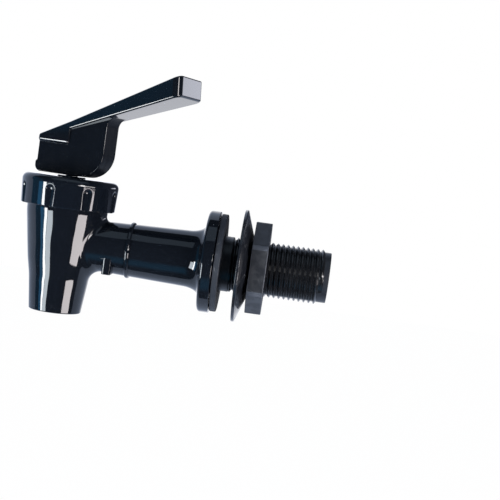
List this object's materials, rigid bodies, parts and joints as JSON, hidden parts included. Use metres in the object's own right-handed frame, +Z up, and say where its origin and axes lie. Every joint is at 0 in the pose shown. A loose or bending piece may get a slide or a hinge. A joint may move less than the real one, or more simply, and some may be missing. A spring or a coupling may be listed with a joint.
{
  "type": "beverage dispenser spigot",
  "caption": "Black moulded gravity spigot: tapered spout, rocking lever that lifts a seat cup, flanged threaded shank, and the washers and lock nut that clamp it to a dispenser wall.",
  "frame": {"origin": "on the shank's axis at the rear face of the body's flange", "axes": "+X along the shank from the spout to the nut, +Z up with the spout pointing down, -Y toward the camera"},
  "size_m": [0.1266, 0.0482, 0.0982],
  "materials": {
    "body_plastic": "glossy black moulded plastic, smooth, satin on the shank",
    "bonnet_plastic": "glossy black moulded plastic",
    "lever_plastic": "glossy black moulded plastic, satin under the paddle and on its end",
    "pin_steel": "plain steel pin",
    "stem_plastic": "plain grey plastic",
    "seat_ring_plastic": "plain white plastic",
    "spring_steel": "drawn wire",
    "silicone": "soft white silicone",
    "washer_rubber": "matte black rubber",
    "cone_washer_plastic": "glossy black plastic",
    "nut_plastic": "satin black plastic"
  },
  "bodies": {
    "spigot_body": {"body": "body_plastic", "bonnet": "bonnet_plastic", "flange_washer": "washer_rubber", "seat_cup": "silicone", "spring": "spring_steel"},
    "valve_carrier": {"spring_seat": "seat_ring_plastic"},
    "valve_stem": {"stem": "stem_plastic", "hinge_pin": "pin_steel"},
    "tap_lever": {"lever": "lever_plastic"},
    "sliding_washer": {"nut_washer": "cone_washer_plastic"},
    "turning_nut": {"lock_nut": "nut_plastic"}
  },
  "joints": [
    {"name": "valve_lift", "type": "slide", "parent": "spigot_body", "child": "valve_carrier", "axis": [0, 0, 1], "range_m": [0, 0.0019], "deforming": ["seat_cup", "spring"]},
    {"name": "lever_swivel", "type": "hinge", "parent": "valve_carrier", "child": "valve_stem", "pos_m": [-0.0617, 0, 0.0326], "axis": [0, 0, 1], "continuous": true},
    {"name": "lever_tilt", "type": "hinge", "parent": "valve_stem", "child": "tap_lever", "pos_m": [-0.0617, 0, 0.0326], "axis": [0.342, 0.9397, 0], "range_deg": [0, 18], "stiffness_Nm_per_rad": 0.108, "springref_deg": -47.56},
    {"name": "nut_travel", "type": "slide", "parent": "spigot_body", "child": "sliding_washer", "axis": [1, 0, 0], "range_m": [-0.00551, 0.02051]},
    {"name": "nut_spin", "type": "hinge", "parent": "sliding_washer", "child": "turning_nut", "pos_m": [0.0142, 0, 0], "axis": [1, 0, 0], "range_deg": [-990, 3690]}
  ],
  "couplings": [
    {"joint": "valve_lift", "follows": "lever_tilt", "m_per_rad": 0.006},
    {"joint": "nut_travel", "follows": "nut_spin", "m_per_rad": 0.00031831}
  ]
}
